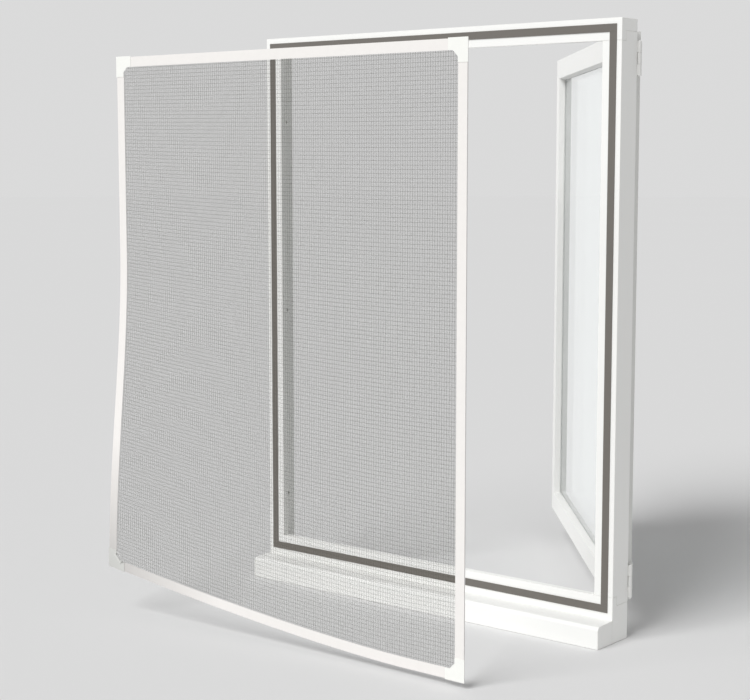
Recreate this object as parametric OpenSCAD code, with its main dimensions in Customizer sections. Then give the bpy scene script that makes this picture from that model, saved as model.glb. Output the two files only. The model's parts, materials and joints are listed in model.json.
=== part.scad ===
// Outward-opening timber casement window with a magnetic insect screen.
// X runs across the window, Y points outdoors and Z points up.
// The origin is the middle of the frame's underside, halfway through its depth.
// The sash stands open on two lipped-sash hinges at the right. The screen is
// held off the frame on the room side, with one bottom corner peeled forward.

/* [Frame] */
// Overall width of the frame
frame_w = 900; // [500:1:1400]
// Overall height of the frame
frame_h = 1195; // [600:1:1800]
// Depth of the frame from its room side to its outdoor side
frame_d = 56; // [50:1:80]
// Face width of the head and of each jamb, seen from the room
face_w = 42; // [38:1:70]
// Height of the bottom rail on its room side
bottom_rail_h = 91; // [84:1:140]
// Depth of the stop that the sash closes against
stop_d = 15; // [10:0.5:20]
// How far the stop stands proud of the rebate behind it
rebate_w = 18; // [14:0.5:20]
// Thickness of the jambs' tenons, through the frame's depth
tenon_t = 14; // [8:1:18]
// Timber left on each side of a jamb's tenon
tenon_shoulder = 5; // [4:0.5:7]
// Timber left between the end of a jamb's tenon and the outside of the frame
tenon_cover = 5; // [4:0.5:8]

/* [Inner sill] */
// How far the inner sill stands out into the room
sill_d = 52.5; // [30:0.5:120]
// Height of the inner sill
sill_h = 46; // [34:1:60]
// Fall of the inner sill's top, towards the room
sill_fall = 2; // [0:0.5:4]
// Radius of the inner sill's upper front edge
sill_nose_r = 8; // [3:0.5:15]
// Radius of the dowels that join the inner sill to the bottom rail
dowel_r = 4; // [3:0.5:6]
// Length of those dowels
dowel_l = 40; // [30:1:60]
// Distance from the middle dowel to the dowel at each end
dowel_spacing = 300; // [120:5:500]

/* [Magnet tape on the frame] */
// Width of the tape
tape_w = 15; // [10:0.5:18]
// Thickness of the tape
tape_t = 1.5; // [0.8:0.1:3]
// Distance from the frame's outer edge to the tape
tape_margin = 11; // [6:0.5:14]
// Height of the tape's lower edge above the inner sill
tape_sill_gap = 13.5; // [8:0.5:15]

/* [Wall fixings] */
// Radius of the holes in the jambs' rebates for the wall screws
fixing_r = 3.75; // [3:0.25:5]
// Distance from each end of the frame to the nearest hole
fixing_inset = 180; // [150:5:260]
// Timber left whole at the end of each hole, for the wall screw to break through
fixing_skin = 3; // [2:0.5:5]

/* [Rebate seal] */
// Width of the seal on the stop
seal_w = 7; // [4:0.5:8]
// Thickness of the seal while the sash is closed
seal_t = 1.7; // [1:0.1:3]
// Distance from the stop's inner edge to the seal
seal_inset = 4; // [2:0.5:6]

/* [Sash] */
// How far the sash stands open, where 0 is closed
sash_open = 49.7; // [0:0.1:95]
// Thickness of the sash
sash_t = 50; // [46:1:70]
// Width of the timber outside the glass rebate
sash_core_w = 30; // [24:1:50]
// Gap between the sash and the frame's rebate, all round
sash_gap = 2; // [1.6:0.1:3]
// How far the outdoor lip reaches past the sash's edge
lip_w = 5; // [3:0.5:8]
// Gap between the lip and the frame's outdoor face
lip_gap = 0.6; // [0.4:0.1:1.5]
// Thickness of the rails' tenons, through the sash's depth
sash_tenon_t = 14; // [8:1:18]
// Length of the rails' tenons
sash_tenon_l = 22; // [14:1:22]
// Timber left above and below a rail's tenon
sash_tenon_shoulder = 6; // [4:0.5:8]

/* [Glazing] */
// Width of a glazing bead's room side
bead_face_w = 14; // [8:1:20]
// How much wider the bead is at the glass, which gives its slope
bead_slope_w = 4; // [1:0.5:8]
// Depth of a glazing bead
bead_d = 13; // [9:0.5:16]
// Thickness of each pane
pane_t = 4; // [3:0.5:6]
// Width of the cavity between the panes
cavity_t = 12; // [8:1:14]
// Gap between the glass edge and the timber
glass_edge_gap = 5; // [3:0.5:6]
// Thickness of the glazing tape on each side of the glass
glazing_tape_t = 1.5; // [1:0.1:2]
// Width of the glazing tape
glazing_tape_w = 10; // [5:0.5:10.5]
// Width of the edge sealant between the panes
sealant_w = 5; // [3:0.5:5]
// Width of the spacer bar
spacer_w = 6.5; // [5:0.5:7]
// Length of a block that carries or centres the glass
block_l = 80; // [50:1:120]
// Distance from a glass corner to the nearest block
block_inset = 90; // [40:1:110]

/* [Hinges] */
// Length of a hinge
hinge_h = 64; // [40:1:100]
// Distance from the sash's top edge to the upper hinge
hinge_top_inset = 15; // [5:1:150]
// Distance from the sash's bottom edge to the lower hinge
hinge_bottom_inset = 6; // [5:1:150]
// Outer radius of a knuckle
knuckle_r = 4; // [3.6:0.1:6]
// Radius of a hinge pin
hinge_pin_r = 2.5; // [1.5:0.1:2.6]
// Running clearance round a hinge pin
pin_clearance = 0.05; // [0.02:0.01:0.1]
// Thickness of a leaf
leaf_t = 2; // [1.5:0.1:2.5]
// Distance from the frame's side face out to the pin
hinge_offset = 2; // [1:0.5:6]
// Width of the leaf on the sash's outdoor face
sash_leaf_w = 20; // [14:1:26]
// Radius of a leaf screw's head
screw_head_r = 3.4; // [2.6:0.1:4]
// Radius of a leaf screw's shank
screw_r = 1.7; // [1.2:0.1:2]
// Length of a leaf screw
screw_l = 25; // [16:1:30]

/* [Insect screen] */
// Width of the flexible strips round the screen
strip_w = 20; // [12:0.5:24]
// Thickness of the magnet strips at the back
magnet_t = 1.6; // [1:0.1:3]
// Thickness of the mesh
mesh_t = 0.4; // [0.3:0.1:0.8]
// Thickness of the edge covers at the front
cover_t = 0.8; // [0.5:0.1:1.5]
// How far the mesh runs in between the strips and the covers
mesh_hem = 10; // [5:0.5:11.5]
// Size of the small triangle in the inner corner of a patch
patch_gusset = 11; // [5:0.5:15]
// Length of a corner patch's leg past that triangle
patch_arm = 10; // [4:0.5:30]
// How far a corner patch reaches past the strips' outer edges
patch_overhang = 1.5; // [0:0.5:3]
// Thickness of a corner patch
patch_t = 0.8; // [0.4:0.1:1.5]
// Outer radius of the pull loop
loop_r = 12; // [10:0.5:15]
// Width of the pull loop's band
loop_band = 3; // [2:0.1:4]
// Length of the pull loop's straight legs
loop_leg = 6; // [0:0.5:12]
// Thickness of the pull loop's band
loop_t = 1.2; // [0.8:0.1:2]
// Width of the foot that joins the pull loop to the patch
loop_foot = 5; // [3:0.5:6]
// Angle at which the pull loop stands off the mesh
loop_tilt = 30; // [20:1:60]

/* [Where the screen is held] */
// Distance into the room from the screen's place on the tape
screen_out = 401.5; // [80:0.5:600]
// Distance to the left of its place on the tape
screen_left = 47; // [0:0.5:200]
// Distance below its place on the tape
screen_drop = 46.5; // [0:0.5:58]
// How far the peeled corner comes forward
curl_out = 53; // [0:1:80]
// How far the peeled corner rises
curl_rise = 86; // [0:1:100]
// How far the peeled corner moves sideways, towards the middle
curl_in = 10; // [0:1:40]
// How far the curl reaches along the bottom strip
curl_reach_w = 750; // [300:5:1300]
// How far the curl reaches up the left strip
curl_reach_h = 700; // [300:5:1500]

/* [Hidden] */
$fn = 48;

white_paint = [0.98, 0.98, 0.96];
tape_grey = [0.45, 0.44, 0.42];
seal_grey = [0.62, 0.62, 0.60];
steel_white = [0.90, 0.90, 0.89];
wood = [0.80, 0.66, 0.45];
glass_tint = [0.90, 0.95, 0.95, 0.4];
spacer_grey = [0.75, 0.76, 0.77];
strip_white = [0.96, 0.95, 0.94];
mesh_grey = [0.70, 0.70, 0.69, 0.7];

cut = 1;              // how far a cutting tool runs past a face
fit = 0.2;            // clearance between a tenon and its mortise
tape_clearance = 0.3; // clearance between the hung screen and the tape
seal_clearance = 0.3; // clearance between the closed sash and the seal

// Frame planes and edges
room_y = -frame_d / 2;
outdoor_y = frame_d / 2;
stop_y = room_y + stop_d;
side_x = frame_w / 2;
opening_x = side_x - face_w;
rebate_x = opening_x + rebate_w;
head_z = frame_h - face_w;
head_rebate_z = head_z + rebate_w;
rail_rebate_z = bottom_rail_h - rebate_w;
jamb_rear_w = side_x - rebate_x;
rebate_mid_y = (stop_y + outdoor_y) / 2;
tenon_w = jamb_rear_w - 2 * tenon_shoulder;
tenon_l = frame_h - head_rebate_z - tenon_cover;

// Magnet tape outline
tape_x = side_x - tape_margin;
tape_top_z = frame_h - tape_margin;
tape_low_z = sill_h + tape_sill_gap;

// Sash planes and edges, while it is closed
sash_room_y = stop_y + seal_t + seal_clearance;
sash_out_y = sash_room_y + sash_t;
lip_y = outdoor_y + lip_gap;
sash_x = rebate_x - sash_gap;
sash_top_z = head_rebate_z - sash_gap;
sash_low_z = rail_rebate_z + sash_gap;
core_x = sash_x - sash_core_w;
core_top_z = sash_top_z - sash_core_w;
core_low_z = sash_low_z + sash_core_w;
sight_w = bead_face_w + bead_slope_w;
bead_y = sash_room_y + bead_d;
unit_t = 2 * pane_t + cavity_t;
unit_y = bead_y + glazing_tape_t;
glass_stop_y = unit_y + unit_t + glazing_tape_t;
glass_x = core_x - glass_edge_gap;
glass_top_z = core_top_z - glass_edge_gap;
glass_low_z = core_low_z + glass_edge_gap;
sash_tenon_h = sash_core_w - 2 * sash_tenon_shoulder;
sash_mid_y = (sash_room_y + sash_out_y) / 2;

// Hinges
hinge_x = side_x + hinge_offset;
hinge_y = outdoor_y + knuckle_r + lip_gap;
knuckle_gap = 0.4;
knuckle_h = (hinge_h - 2 * knuckle_gap) / 3;
leaf_reach = knuckle_r + 1; // where the leaves stop short of the other leaf's knuckle
lip_side_x = sash_x + lip_w;
frame_leaf_x = lip_side_x + 2;
upper_hinge_z = sash_top_z - hinge_top_inset - hinge_h;
lower_hinge_z = sash_low_z + hinge_bottom_inset;
screw_rows = [0.14, 0.5, 0.86];
frame_screw_x = (frame_leaf_x + hinge_x - leaf_reach) / 2;
sash_screw_x = lip_side_x - sash_leaf_w / 2;
pin_head_r = hinge_pin_r + 1;
pin_head_h = 1.2;

// Insect screen
screen_w = 2 * tape_x;
screen_h = tape_top_z - tape_low_z;
screen_back_y = room_y - tape_t - tape_clearance;
mesh_back_y = screen_back_y - magnet_t;
cover_back_y = mesh_back_y - mesh_t;
patch_back_y = cover_back_y - cover_t;
patch_front_y = patch_back_y - patch_t;
patch_inner = strip_w + patch_gusset;
patch_leg = patch_inner + patch_arm;
reach_w = min(curl_reach_w, screen_w - patch_leg);
reach_h = min(curl_reach_h, screen_h - patch_leg);
gusset_mid = strip_w + patch_gusset / 2;
loop_gap = 0.1; // keeps the pull loop's flat foot off the curved patch
curl_power = 1.6;
cells_w = 20;
cells_h = 26;

// ---------- helpers ----------

// A box between two opposite corners
module block(low, high) {
    translate(low) cube(high - low);
}

// A bar along X whose section is drawn in Y and Z
module x_bar(half_length, section) {
    rotate([90, 0, 90])
        translate([0, 0, -half_length])
            linear_extrude(2 * half_length) polygon(section);
}

// A frame-shaped ring that faces Y: outer half width, bottom, top and band width
module ring(x, low_z, top_z, band, low_y, high_y) {
    difference() {
        block([-x, low_y, low_z], [x, high_y, top_z]);
        block([-x + band, low_y - cut, low_z + band], [x - band, high_y + cut, top_z - band]);
    }
}

// Everything on the sash is drawn closed and swung open about the pins
module swung() {
    translate([hinge_x, hinge_y, 0])
        rotate([0, 0, -sash_open])
            translate([-hinge_x, -hinge_y, 0])
                children();
}

module mirrored_if(flip) {
    if (flip) mirror([1, 0, 0]) children();
    else children();
}

// ---------- frame ----------

// The tenons at both ends of the right jamb, larger by a clearance when they cut a mortise
module jamb_tenons(clearance = 0) {
    x0 = rebate_x + tenon_shoulder - clearance;
    x1 = side_x - tenon_shoulder + clearance;
    y0 = rebate_mid_y - tenon_t / 2 - clearance;
    y1 = rebate_mid_y + tenon_t / 2 + clearance;
    block([x0, y0, rail_rebate_z - tenon_l - clearance], [x1, y1, rail_rebate_z + cut]);
    block([x0, y0, head_rebate_z - cut], [x1, y1, head_rebate_z + tenon_l + clearance]);
}

module mortises() {
    jamb_tenons(fit);
    mirror([1, 0, 0]) jamb_tenons(fit);
}

module head() {
    color(white_paint) difference() {
        x_bar(side_x, [
            [room_y, frame_h], [outdoor_y, frame_h], [outdoor_y, head_rebate_z],
            [stop_y, head_rebate_z], [stop_y, head_z], [room_y, head_z]
        ]);
        mortises();
    }
}

module bottom_rail() {
    color(white_paint) difference() {
        x_bar(side_x, [
            [room_y, 0], [outdoor_y, 0], [outdoor_y, rail_rebate_z],
            [stop_y, rail_rebate_z], [stop_y, bottom_rail_h], [room_y, bottom_rail_h]
        ]);
        mortises();
        dowels(fit / 2);
    }
}

// Blind holes along X in the jamb's rebate, for the screws into the wall beside the window
module fixing_holes() {
    for (z = [fixing_inset, frame_h / 2, frame_h - fixing_inset])
        translate([rebate_x - cut, rebate_mid_y, z])
            rotate([0, 90, 0]) cylinder(r = fixing_r, h = jamb_rear_w - fixing_skin + cut);
}

// Pilot holes for the screws of the frame leaves
module frame_screw_pilots() {
    at_frame_screws() screw_shank(fit / 2);
}

module jamb(with_hinges) {
    color(white_paint) mirrored_if(!with_hinges) difference() {
        union() {
            block([opening_x, room_y, bottom_rail_h], [side_x, stop_y, head_z]);
            block([rebate_x, stop_y, rail_rebate_z], [side_x, outdoor_y, head_rebate_z]);
            jamb_tenons();
        }
        fixing_holes();
        if (with_hinges) frame_screw_pilots();
    }
}

module left_jamb() {
    jamb(false);
}

module right_jamb() {
    jamb(true);
}

module inner_sill() {
    front_h = sill_h - sill_fall;
    color(white_paint) difference() {
        rotate([90, 0, 90]) translate([room_y, 0, -side_x]) linear_extrude(frame_w) {
            translate([-sill_d, 0]) square([sill_nose_r, front_h - sill_nose_r]);
            polygon([[sill_nose_r - sill_d, 0], [0, 0], [0, sill_h], [sill_nose_r - sill_d, front_h]]);
            translate([sill_nose_r - sill_d, front_h - sill_nose_r]) circle(r = sill_nose_r);
        }
        dowels(fit / 2);
    }
}

module dowels(clearance = 0) {
    for (x = [-dowel_spacing, 0, dowel_spacing])
        translate([x, room_y + dowel_l / 2 + clearance, sill_h / 2])
            rotate([90, 0, 0])
                cylinder(r = dowel_r + clearance, h = dowel_l + 2 * clearance);
}

module sill_dowels() {
    color(wood) dowels();
}

// A stretch of tape on the frame's room side
module tape(x0, x1, z0, z1) {
    color(tape_grey) block([x0, room_y - tape_t, z0], [x1, room_y, z1]);
}

module tape_top() {
    tape(-tape_x, tape_x, tape_top_z - tape_w, tape_top_z);
}

module tape_bottom() {
    tape(-tape_x, tape_x, tape_low_z, tape_low_z + tape_w);
}

module tape_left() {
    tape(-tape_x, tape_w - tape_x, tape_low_z + tape_w, tape_top_z - tape_w);
}

module tape_right() {
    tape(tape_x - tape_w, tape_x, tape_low_z + tape_w, tape_top_z - tape_w);
}

module rebate_seal() {
    reach = seal_inset + seal_w;
    color(seal_grey)
        ring(opening_x + reach, bottom_rail_h - reach, head_z + reach, seal_w,
            stop_y, stop_y + seal_t);
}

// ---------- hinges ----------

// One knuckle of a hinge, counted from its lower end
module knuckle(index) {
    translate([hinge_x, hinge_y, index * (knuckle_h + knuckle_gap)])
        cylinder(r = knuckle_r, h = knuckle_h);
}

module pin_bore() {
    translate([hinge_x, hinge_y, -cut])
        cylinder(r = hinge_pin_r + pin_clearance, h = hinge_h + 2 * cut);
}

// A countersunk screw that points along -Y, with its head's face at the origin
module screw_shank(clearance = 0) {
    rotate([90, 0, 0]) cylinder(r = screw_r + clearance, h = screw_l + clearance);
}

module screw(clearance = 0) {
    screw_shank(clearance);
    rotate([90, 0, 0]) cylinder(r1 = screw_head_r + clearance, r2 = screw_r + clearance, h = leaf_t);
}

module at_frame_screws() {
    for (z = [lower_hinge_z, upper_hinge_z], row = screw_rows)
        translate([frame_screw_x, outdoor_y + leaf_t, z + row * hinge_h]) children();
}

module at_sash_screws() {
    for (z = [lower_hinge_z, upper_hinge_z], row = screw_rows)
        translate([sash_screw_x, sash_out_y + leaf_t, z + row * hinge_h]) children();
}

// The flat leaf on the jamb's outdoor face, which carries the outer knuckles
module frame_leaf(z) {
    color(steel_white) difference() {
        translate([0, 0, z]) difference() {
            union() {
                block([frame_leaf_x, outdoor_y, 0], [hinge_x - leaf_reach, outdoor_y + leaf_t, hinge_h]);
                for (i = [0, 2]) {
                    knuckle(i);
                    translate([hinge_x - leaf_reach - cut, outdoor_y, i * (knuckle_h + knuckle_gap)])
                        cube([leaf_reach + cut, leaf_t, knuckle_h]);
                }
            }
            pin_bore();
        }
        at_frame_screws() screw(pin_clearance);
    }
}

// The cranked leaf, which steps round the sash's lip and carries the middle knuckle
module sash_leaf(z) {
    bridge_y = hinge_y - leaf_t / 2;
    color(steel_white) swung() difference() {
        translate([0, 0, z]) difference() {
            union() {
                block([lip_side_x - sash_leaf_w, sash_out_y, 0],
                    [lip_side_x + leaf_t, sash_out_y + leaf_t, hinge_h]);
                block([lip_side_x, bridge_y, 0], [lip_side_x + leaf_t, sash_out_y + leaf_t, hinge_h]);
                block([lip_side_x, bridge_y, 0], [hinge_x - leaf_reach, bridge_y + leaf_t, hinge_h]);
                translate([lip_side_x, bridge_y, knuckle_h + knuckle_gap])
                    cube([hinge_x - lip_side_x, leaf_t, knuckle_h]);
                knuckle(1);
            }
            pin_bore();
        }
        at_sash_screws() screw(pin_clearance);
    }
}

module hinge_pin(z) {
    color(steel_white) translate([hinge_x, hinge_y, z]) {
        cylinder(r = hinge_pin_r, h = hinge_h);
        translate([0, 0, hinge_h]) cylinder(r = pin_head_r, h = pin_head_h);
        translate([0, 0, -pin_head_h]) cylinder(r = pin_head_r, h = pin_head_h);
    }
}

module upper_frame_leaf() {
    frame_leaf(upper_hinge_z);
}

module lower_frame_leaf() {
    frame_leaf(lower_hinge_z);
}

module upper_sash_leaf() {
    sash_leaf(upper_hinge_z);
}

module lower_sash_leaf() {
    sash_leaf(lower_hinge_z);
}

module upper_hinge_pin() {
    hinge_pin(upper_hinge_z);
}

module lower_hinge_pin() {
    hinge_pin(lower_hinge_z);
}

module frame_leaf_screws() {
    color(steel_white) at_frame_screws() screw();
}

module sash_leaf_screws() {
    color(steel_white) swung() at_sash_screws() screw();
}

// ---------- sash ----------

// The tenons at the right ends of both rails
module rail_tenons(clearance = 0) {
    y0 = sash_mid_y - sash_tenon_t / 2 - clearance;
    y1 = sash_mid_y + sash_tenon_t / 2 + clearance;
    for (z = [sash_low_z, core_top_z])
        block([core_x - cut, y0, z + sash_tenon_shoulder - clearance],
            [core_x + sash_tenon_l + clearance, y1,
                z + sash_tenon_shoulder + sash_tenon_h + clearance]);
}

// A stile: full height, with the lip at its outdoor edge and the stop behind the glass
module stile(with_hinges) {
    color(white_paint) swung() mirrored_if(!with_hinges) difference() {
        union() {
            block([core_x, sash_room_y, sash_low_z], [sash_x, sash_out_y, sash_top_z]);
            block([core_x, lip_y, sash_low_z - lip_w], [lip_side_x, sash_out_y, sash_top_z + lip_w]);
            block([core_x - sight_w, glass_stop_y, core_low_z], [core_x, sash_out_y, core_top_z]);
        }
        rail_tenons(fit);
        if (with_hinges) at_sash_screws() screw_shank(fit / 2);
    }
}

module hinge_stile() {
    stile(true);
}

module free_stile() {
    stile(false);
}

// A rail between the stiles; edge_z is the sash's edge and inward is the way to the glass
module rail(edge_z, inward) {
    core_z = edge_z + inward * sash_core_w;
    lip_z = edge_z - inward * lip_w;
    sight_z = core_z + inward * sight_w;
    stop_x = core_x - sight_w;
    color(white_paint) swung() {
        block([-core_x, sash_room_y, min(edge_z, core_z)], [core_x, sash_out_y, max(edge_z, core_z)]);
        block([-core_x, lip_y, min(lip_z, core_z)], [core_x, sash_out_y, max(lip_z, core_z)]);
        block([-stop_x, glass_stop_y, min(core_z, sight_z)], [stop_x, sash_out_y, max(core_z, sight_z)]);
        intersection() {
            union() {
                rail_tenons();
                mirror([1, 0, 0]) rail_tenons();
            }
            block([-side_x, sash_room_y, min(edge_z, core_z)], [side_x, sash_out_y, max(edge_z, core_z)]);
        }
    }
}

module sash_top_rail() {
    rail(sash_top_z, -1);
}

module sash_bottom_rail() {
    rail(sash_low_z, 1);
}

// A mitred glazing bead along X: it lies outside z = 0 up to z = sight_w, centred on x = 0
module bead(length) {
    half = length / 2;
    intersection() {
        x_bar(half, [
            [sash_room_y, 0], [bead_y, 0], [bead_y, sight_w], [sash_room_y, bead_face_w]
        ]);
        translate([0, bead_y + cut, 0])
            rotate([90, 0, 0])
                linear_extrude(bead_d + 2 * cut)
                    polygon([[-half, 0], [half, 0], [half - sight_w, sight_w], [sight_w - half, sight_w]]);
    }
}

module level_bead(z, flip) {
    color(white_paint) swung()
        translate([0, 0, z]) mirror([0, 0, flip ? 1 : 0]) bead(2 * core_x);
}

module upright_bead(flip) {
    color(white_paint) swung() mirrored_if(flip)
        translate([core_x, 0, (core_top_z + core_low_z) / 2])
            rotate([0, -90, 0]) bead(core_top_z - core_low_z);
}

module bead_top() {
    level_bead(core_top_z, true);
}

module bead_bottom() {
    level_bead(core_low_z, false);
}

module bead_hinge_side() {
    upright_bead(false);
}

module bead_free_side() {
    upright_bead(true);
}

module pane(y) {
    color(glass_tint) swung()
        block([-glass_x, y, glass_low_z], [glass_x, y + pane_t, glass_top_z]);
}

module inner_pane() {
    pane(unit_y);
}

module outer_pane() {
    pane(unit_y + pane_t + cavity_t);
}

// A ring round the glass, starting a given distance in from its edge
module glass_ring(inset, band, low_y, high_y) {
    swung() ring(glass_x - inset, glass_low_z + inset, glass_top_z - inset, band, low_y, high_y);
}

module edge_sealant() {
    color(seal_grey) glass_ring(0, sealant_w, unit_y + pane_t, unit_y + pane_t + cavity_t);
}

module spacer_frame() {
    color(spacer_grey) glass_ring(sealant_w, spacer_w, unit_y + pane_t, unit_y + pane_t + cavity_t);
}

module inner_glazing_tape() {
    color(seal_grey) glass_ring(0, glazing_tape_w, bead_y, unit_y);
}

module outer_glazing_tape() {
    color(seal_grey) glass_ring(0, glazing_tape_w, unit_y + unit_t, glass_stop_y);
}

// Blocks under the glass and beside it, which fill the gap to the timber
module glazing_blocks() {
    color(seal_grey) swung() for (side = [-1, 1]) {
        x = side * (glass_x - block_inset - block_l / 2);
        block([x - block_l / 2, unit_y, core_low_z], [x + block_l / 2, unit_y + unit_t, glass_low_z]);
        for (z = [glass_low_z + block_inset, glass_top_z - block_inset - block_l])
            block([min(side * glass_x, side * core_x), unit_y, z],
                [max(side * glass_x, side * core_x), unit_y + unit_t, z + block_l]);
    }
}

// ---------- insect screen ----------
// u runs along the screen's width from the left, v runs up from its bottom edge.

// How strongly the curl acts across and up the screen: 1 at the peeled corner, 0 past its reach
function across(u) = u < reach_w ? pow(1 - u / reach_w, curl_power) : 0;
function up(v) = v < reach_h ? 1 - pow(v / reach_h, 2) * (3 - 2 * v / reach_h) : 0;
function rise(v) = max(0, 1 - v / (screen_h - strip_w));

// Where a point of the screen lies, for a layer at depth y
function screen_point(u, v, y) = [
    u - tape_x - screen_left + curl_in * across(u) * up(v),
    y - screen_out - curl_out * across(u) * up(v),
    v + tape_low_z - screen_drop + curl_rise * across(u) * rise(v)
];

// Grid lines, which all layers share so that they lie flat on each other
function lines(size, cells) = [
    0, strip_w - mesh_hem, strip_w, patch_inner,
    for (i = [0:cells]) patch_leg + (size - strip_w - patch_leg) * i / cells,
    size - strip_w + mesh_hem, size
];
u_lines = lines(screen_w, cells_w);
v_lines = lines(screen_h, cells_h);
function unit(vector) = vector / norm(vector);
function between(values, low, high) = [for (a = values) if (a >= low - 0.01 && a <= high + 0.01) a];
function rectangle(us, vs) = [for (u = us) [for (v = vs) [u, v]]];

// A curved plate over a grid of [u, v] points, from front_y (room side) to back_y
module curved_plate(grid, front_y, back_y) {
    nu = len(grid);
    nv = len(grid[0]);
    total = nu * nv;
    points = [
        for (y = [front_y, back_y], row = grid, p = row) screen_point(p[0], p[1], y)
    ];
    front = [
        for (i = [0:nu - 2], j = [0:nv - 2])
            let (a = i * nv + j, b = a + 1, c = b + nv, d = a + nv)
            each [[a, b, c], [a, c, d]]
    ];
    back = [for (f = front) [f[0] + total, f[2] + total, f[1] + total]];
    rim = concat(
        [for (i = [0:nu - 2]) [i * nv, (i + 1) * nv]],
        [for (j = [0:nv - 2]) [(nu - 1) * nv + j, (nu - 1) * nv + j + 1]],
        [for (i = [nu - 1:-1:1]) [i * nv + nv - 1, (i - 1) * nv + nv - 1]],
        [for (j = [nv - 1:-1:1]) [j, j - 1]]
    );
    sides = [for (e = rim) each [[e[0], e[1], e[1] + total], [e[0], e[1] + total, e[0] + total]]];
    polyhedron(points, concat(front, back, sides));
}

// A flat, uncurled piece, drawn in u and v
module flat_plate(front_y, back_y) {
    translate(screen_point(screen_w, screen_h, back_y) - [screen_w, 0, screen_h])
        rotate([90, 0, 0]) linear_extrude(back_y - front_y) children();
}

module magnet_strip_top() {
    color(tape_grey) flat_plate(mesh_back_y, screen_back_y)
        translate([0, screen_h - strip_w]) square([screen_w, strip_w]);
}

module magnet_strip_right() {
    color(tape_grey) flat_plate(mesh_back_y, screen_back_y)
        translate([screen_w - strip_w, strip_w]) square([strip_w, screen_h - 2 * strip_w]);
}

module magnet_strip_bottom() {
    color(tape_grey)
        curved_plate(rectangle(u_lines, between(v_lines, 0, strip_w)), mesh_back_y, screen_back_y);
}

module magnet_strip_left() {
    color(tape_grey) curved_plate(
        rectangle(between(u_lines, 0, strip_w), between(v_lines, strip_w, screen_h - strip_w)),
        mesh_back_y, screen_back_y);
}

module edge_cover_top() {
    color(strip_white) flat_plate(patch_back_y, cover_back_y)
        translate([0, screen_h - strip_w]) square([screen_w, strip_w]);
}

module edge_cover_right() {
    color(strip_white) flat_plate(patch_back_y, cover_back_y)
        translate([screen_w - strip_w, strip_w]) square([strip_w, screen_h - 2 * strip_w]);
}

module edge_cover_bottom() {
    color(strip_white)
        curved_plate(rectangle(u_lines, between(v_lines, 0, strip_w)), patch_back_y, cover_back_y);
}

module edge_cover_left() {
    color(strip_white) curved_plate(
        rectangle(between(u_lines, 0, strip_w), between(v_lines, strip_w, screen_h - strip_w)),
        patch_back_y, cover_back_y);
}

module screen_mesh() {
    hem = strip_w - mesh_hem;
    color(mesh_grey) curved_plate(
        rectangle(between(u_lines, hem, screen_w - hem), between(v_lines, hem, screen_h - hem)),
        cover_back_y, mesh_back_y);
}

// The outline of a corner patch, with its corner at the origin
module patch_outline() {
    polygon([
        [-patch_overhang, -patch_overhang], [patch_leg, -patch_overhang],
        [patch_leg, strip_w], [patch_inner, strip_w],
        [strip_w, patch_inner], [strip_w, patch_leg], [-patch_overhang, patch_leg]
    ]);
}

module flat_patch(right, top) {
    color(white_paint) flat_plate(patch_front_y, patch_back_y)
        translate([right ? screen_w : 0, top ? screen_h : 0])
            mirror([right ? 1 : 0, 0]) mirror([0, top ? 1 : 0]) patch_outline();
}

module corner_patch_top_left() {
    flat_patch(false, true);
}

module corner_patch_top_right() {
    flat_patch(true, true);
}

module corner_patch_bottom_right() {
    flat_patch(true, false);
}

module corner_patch_bottom_left() {
    narrow = [-patch_overhang, 0, strip_w - mesh_hem, strip_w];
    arm = [patch_inner, patch_leg];
    gusset = [
        [[strip_w, strip_w], [strip_w, patch_inner]],
        [[patch_inner, strip_w], [gusset_mid, gusset_mid]]
    ];
    color(white_paint) {
        curved_plate(rectangle(concat(narrow, arm), narrow), patch_front_y, patch_back_y);
        curved_plate(rectangle(narrow, concat([strip_w], arm)), patch_front_y, patch_back_y);
        curved_plate(gusset, patch_front_y, patch_back_y);
    }
}

// Two straight legs that start at the X axis, with a half circle across their ends
module loop_outline(r, below = 0) {
    intersection() {
        translate([0, loop_leg]) circle(r = r);
        translate([-r, loop_leg]) square([2 * r, r]);
    }
    translate([-r, -below]) square([2 * r, loop_leg + below]);
}

// The pull loop's foot lies on the peeled corner's patch and its band leans off the mesh
module pull_loop() {
    seat = screen_point(gusset_mid, gusset_mid, patch_front_y - loop_gap);
    along = unit(screen_point(patch_inner, strip_w, 0) - screen_point(strip_w, patch_inner, 0));
    out = unit(cross(along, screen_point(patch_leg, patch_leg, 0) - screen_point(0, 0, 0)));
    inward = cross(out, along);
    color(white_paint)
        multmatrix([
            [along[0], inward[0], out[0], seat[0]],
            [along[1], inward[1], out[1], seat[1]],
            [along[2], inward[2], out[2], seat[2]]
        ]) {
            translate([-loop_r, -loop_foot, 0]) cube([2 * loop_r, loop_foot, loop_t]);
            rotate([loop_tilt, 0, 0]) linear_extrude(loop_t) difference() {
                loop_outline(loop_r);
                loop_outline(loop_r - loop_band, cut);
            }
        }
}

head();
left_jamb();
right_jamb();
bottom_rail();
inner_sill();
sill_dowels();
tape_top();
tape_bottom();
tape_left();
tape_right();
rebate_seal();
upper_frame_leaf();
lower_frame_leaf();
upper_hinge_pin();
lower_hinge_pin();
frame_leaf_screws();
hinge_stile();
free_stile();
sash_top_rail();
sash_bottom_rail();
bead_top();
bead_bottom();
bead_hinge_side();
bead_free_side();
inner_pane();
outer_pane();
spacer_frame();
edge_sealant();
inner_glazing_tape();
outer_glazing_tape();
glazing_blocks();
upper_sash_leaf();
lower_sash_leaf();
sash_leaf_screws();
magnet_strip_top();
magnet_strip_bottom();
magnet_strip_left();
magnet_strip_right();
screen_mesh();
edge_cover_top();
edge_cover_bottom();
edge_cover_left();
edge_cover_right();
corner_patch_top_left();
corner_patch_top_right();
corner_patch_bottom_left();
corner_patch_bottom_right();
pull_loop();
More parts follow.
